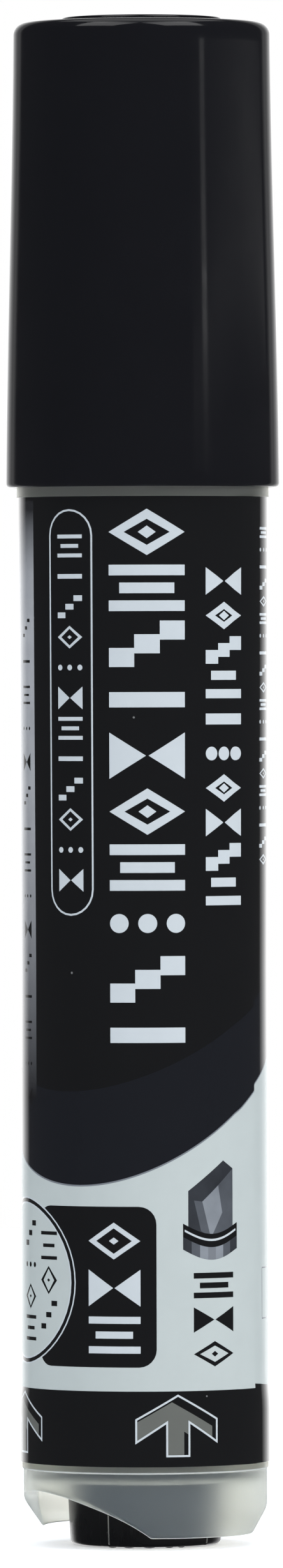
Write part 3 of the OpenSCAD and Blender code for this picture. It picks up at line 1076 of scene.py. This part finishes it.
def make_button():
    angles = [2.5 * i for i in range(144)]
    for rib in RIB_ANGLES:
        for side in (-1, 1):
            angles += [(rib + side * (RIB_HALF + RIB_EDGE * t)) % 360 for t in (0.02, 0.3, 0.7, 1)]
    angles = sorted({round(a, 3) for a in angles})
    turns = len(angles)
    points, faces, indices = [], [], []
    for a in angles:
        points += [around(math.radians(a), r, z) for r, z in button_outline(a)]
    count = len(points) // turns
    for i in range(turns):
        a, b = i * count, (i + 1) % turns * count
        width = (angles[(i + 1) % turns] - angles[i]) % 360
        for k in range(count - 1):
            faces.append((a + k, b + k, b + k + 1, a + k + 1))
            # The thin columns at the rib edges, up the side, take the lighter grey: painted highlight
            # lines.
            indices.append(int(width < 0.3 and 8 < k < 19))
    button = mesh_object(
        "button_moulding", points, faces, [BUTTON_BLACK, RIB_EDGE_HIGHLIGHT], indices, sharp_deg=35.0
    )
    bm = bmesh.new()
    bm.from_mesh(button.data)
    pip_half_h = PIP_H + 0.02
    for x, width in PIPS:
        y = -math.sqrt(PIP_RING_R**2 - x * x)
        for turn in (1, -1):
            made = bmesh.ops.create_uvsphere(bm, u_segments=20, v_segments=10, radius=1.0)
            for v in made["verts"]:
                v.co = Vector(
                    (
                        turn * x + v.co.x * width / 2,
                        turn * y + v.co.y * 0.22,
                        pip_half_h * (1 + max(v.co.z, -1)),
                    )
                ) * MM
    for face in bm.faces:
        face.smooth = True
    bm.to_mesh(button.data)
    bm.free()
    stands_for(button, "push_button", "tank")


# ---------------------------------------------------------------- nib and holder

HOLDER_PLUG_R = 8.55
HOLDER_FLANGE_Z = 93.4
NOSE_R = 6.5
NOSE_TOP_Z = 101.0
SPONGE_BORE_R, SPONGE_TOP_Z = 5.42, 93.22
NIB_BORE_R, NIB_SEAT_Z = 3.44, 97
CORE_BORE_R = 1.52


def make_holder():
    """A plug in the barrel, a flange on its end and a nose round the nib."""
    outline = rounded(
        [
            (SPONGE_BORE_R, HOLDER_LOW.z),
            (HOLDER_PLUG_R, HOLDER_LOW.z, 0.1),
            (HOLDER_PLUG_R, BARREL_HIGH.z),
            (NECK_R, BARREL_HIGH.z + 0.02, 0.05),
            (NECK_R, HOLDER_FLANGE_Z, 0.28),
            (8.5, HOLDER_FLANGE_Z, 0.3),
            (NOSE_R + 0.12, 95.7, 0.5),
            (NOSE_R, 96.4, 0.2),
            (NOSE_R, NOSE_TOP_Z, 0.6),
            (4.95, 104.3, 0.3),
            (4.4, 104.5, 0.2),
            (NIB_BORE_R, 104.1, 0.1),
            (NIB_BORE_R, NIB_SEAT_Z),
            (CORE_BORE_R, NIB_SEAT_Z),
            (CORE_BORE_R, SPONGE_TOP_Z),
            (SPONGE_BORE_R, SPONGE_TOP_Z),
        ],
        steps=6,
    )
    holder = lathe("holder_moulding", outline, [HOLDER_BLACK])
    stands_for(holder, "nib_holder", "barrel")


NIB_R = 3.4
NIB_SLOPE = 33.0
NIB_TIP_T = 3.0
NIB_SHOULDER = 1.5
NIB_WEAR_MM = 0.16
NIB_SHARP_DEG = 25.0


def make_nib():
    """A felt rod cut across its tip, high on the left, and thinned by two flats."""
    low, high = NIB_LOW.z, NIB_HIGH.z
    bm = bmesh.new()
    bmesh.ops.create_cone(
        bm, cap_ends=True, segments=96, radius1=NIB_R, radius2=NIB_R, depth=high - low
    )
    bmesh.ops.translate(bm, verts=bm.verts, vec=(0, 0, (low + high) / 2))
    slope = math.tan(math.radians(NIB_SLOPE))
    wedge = high - 2 * NIB_R * slope - NIB_SHOULDER
    fall = (NIB_R + 0.1 - NIB_TIP_T / 2) / (high - wedge)
    cuts = [
        ((-NIB_R, 0, high), (slope, 0, 1)),
        ((0, NIB_TIP_T / 2, high), (0, 1, fall)),
        ((0, -NIB_TIP_T / 2, high), (0, -1, fall)),
    ]
    for at, normal in cuts:
        whole = [*bm.verts, *bm.edges, *bm.faces]
        cut = bmesh.ops.bisect_plane(
            bm, geom=whole, plane_co=at, plane_no=Vector(normal).normalized(), clear_outer=True
        )
        edges = [e for e in cut["geom_cut"] if isinstance(e, bmesh.types.BMEdge)]
        bmesh.ops.edgeloop_fill(bm, edges=edges)
    bmesh.ops.remove_doubles(bm, verts=bm.verts, dist=1e-4)
    for v in bm.verts:
        v.co *= MM
    mesh = bpy.data.meshes.new("chisel_nib")
    bm.to_mesh(mesh)
    bm.free()
    mesh.materials.append(NIB_FELT)
    nib = finished_object("chisel_nib", mesh, NIB_SHARP_DEG)
    bevel = nib.modifiers.new("worn edges", "BEVEL")
    bevel.width = NIB_WEAR_MM * MM
    bevel.segments = 3
    bevel.limit_method = "ANGLE"
    bevel.angle_limit = math.radians(NIB_SHARP_DEG)
    stands_for(nib, "nib", "barrel")


# ---------------------------------------------------------------- springs

WIRE_FILL = 0.97


def make_coil(name, wire_d, coil_r, open_turns, z0, z1):
    """A round-wire compression spring with one closed turn at each end."""
    per_turn, sides = 48, 14
    turns = open_turns + 2
    rise = (z1 - z0 - 3 * wire_d) / open_turns
    wire_r = wire_d / 2 * WIRE_FILL

    def height(t):
        return (
            z0
            + wire_d / 2
            + wire_d * min(t, 1)
            + rise * max(0.0, min(t, turns - 1) - 1)
            + wire_d * max(0.0, t - turns + 1)
        )

    steps = turns * per_turn
    points = []
    for i in range(steps + 1):
        t = i / per_turn
        for k in range(sides):
            side = 2 * math.pi * k / sides
            r, z = coil_r + wire_r * math.cos(side), height(t) + wire_r * math.sin(side)
            points.append(around(2 * math.pi * t, r, z))
    faces = [
        (
            i * sides + k,
            i * sides + (k + 1) % sides,
            (i + 1) * sides + (k + 1) % sides,
            (i + 1) * sides + k,
        )
        for i in range(steps)
        for k in range(sides)
    ]
    faces += [tuple(range(sides)), tuple(steps * sides + k for k in reversed(range(sides)))]
    return mesh_object(name, points, faces, [STEEL], sharp_deg=60.0)


def make_springs():
    low, high = box_mm("return_spring")
    coil = make_coil("return_coil", 0.7, 7.2, 2, low.z, high.z)
    stands_for(coil, "return_spring", "barrel")
    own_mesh(coil)
    low, high = box_mm("valve_spring")
    coil = make_coil("valve_coil", 0.35, 2, 5, low.z, high.z)
    stands_for(coil, "valve_spring", "tank")
    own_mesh(coil)


# ---------------------------------------------------------------- carried-over pieces

CARRIED = {
    "cap_liner": LINER_WHITE,
    "relay_core": CORE_FIBRE,
    "absorber": SPONGE,
    "valve_sleeve": HOLDER_BLACK,
    "tail_plug": INNER_WHITE,
    "ink_tank": TANK_MILKY,
    "ink_charge": INK,
    "valve_body": INNER_WHITE,
    "valve_cage": INNER_WHITE,
    "valve_seat": RUBBER,
    "nose_seal": RUBBER,
    "valve_stem": STEM_WHITE,
}


def finish_carried():
    for name, mat in CARRIED.items():
        for slot in bpy.data.objects[name].material_slots:
            slot.link = "OBJECT"
            slot.material = mat


# ---------------------------------------------------------------- floor and light


def make_stage():
    half = 0.6
    corners = [(-half, -half, 0), (half, -half, 0), (half, half, 0), (-half, half, 0)]
    mesh = bpy.data.meshes.new("floor")
    mesh.from_pydata(corners, [], [(0, 1, 2, 3)])
    floor = bpy.data.objects.new("floor", mesh)
    bpy.context.scene.collection.objects.link(floor)
    mat, nt, shader = new_material("pale floor")
    mesh.materials.append(mat)
    shader.inputs["Base Color"].default_value = (0.93, 0.93, 0.93, 1)
    shader.inputs["Roughness"].default_value = 0.8
    shader.inputs["Emission Color"].default_value = (1, 1, 1, 1)
    shader.inputs["Emission Strength"].default_value = 0.45
    floor.visible_glossy = False


def make_world():
    """White to look at and to look through. Reflections find it bright behind the marker
    and dim elsewhere, and it fills the shadows with a faint cool light."""
    world = bpy.data.worlds.new("studio")
    bpy.context.scene.world = world
    world.use_nodes = True
    nt = world.node_tree
    background = nt.nodes["Background"]
    coords = nt.nodes.new("ShaderNodeTexCoord")
    split = nt.nodes.new("ShaderNodeSeparateXYZ")
    nt.links.new(coords.outputs["Generated"], split.inputs[0])
    mirrored = ranged(nt, split.outputs["Y"], 0.73, 0.93, 0.06, 1.9)
    path = nt.nodes.new("ShaderNodeLightPath")
    seen = maths(
        nt, "MAXIMUM", path.outputs["Is Camera Ray"], path.outputs["Is Transmission Ray"]
    )
    shade = blended(nt, path.outputs["Is Diffuse Ray"], mirrored, (0.24, 0.3, 0.38, 1))
    shade = blended(nt, seen, shade, (1, 1, 1, 1))
    nt.links.new(shade, background.inputs["Color"])


def area_light(name, azimuth, elevation, distance, width, height, watts, mirrored=True):
    """A rectangle of light, in metres and watts, aimed at the marker's middle. mirrored
    says whether glossy surfaces reflect it."""
    data = bpy.data.lights.new(name, "AREA")
    data.shape = "RECTANGLE"
    data.size, data.size_y = width, height
    data.energy = watts
    obj = bpy.data.objects.new(name, data)
    bpy.context.scene.collection.objects.link(obj)
    a, e = math.radians(azimuth), math.radians(elevation)
    aim = Vector((0, 0, 0.06))
    away = Vector((math.sin(a) * math.cos(e), -math.cos(a) * math.cos(e), math.sin(e)))
    obj.location = aim + away * distance
    obj.rotation_mode = "QUATERNION"
    obj.rotation_quaternion = (-away).to_track_quat("-Z", "Y")
    obj.visible_camera = False
    obj.visible_glossy = mirrored


make_cap()
make_barrel()
make_label()
make_guard()
make_button()
make_holder()
make_nib()
make_springs()
finish_carried()
make_stage()
make_world()
area_light("key right", 53, 26, 1.3, 0.09, 0.4, 4, mirrored=False)
area_light("glint", 55.4, 5.7, 1.3, 0.1, 0.03, 0.02)
area_light("side panel", 88, 5.7, 1.3, 2.5, 0.03, 0.08)
area_light("high left", -50, 58, 1.2, 0.7, 0.7, 4.2)
area_light("high right", 45, 58, 1.2, 0.7, 0.7, 4.6)
area_light("top", 180, 75, 1.4, 1.2, 1.2, 5)
bpy.context.scene.view_settings.view_transform = "Standard"
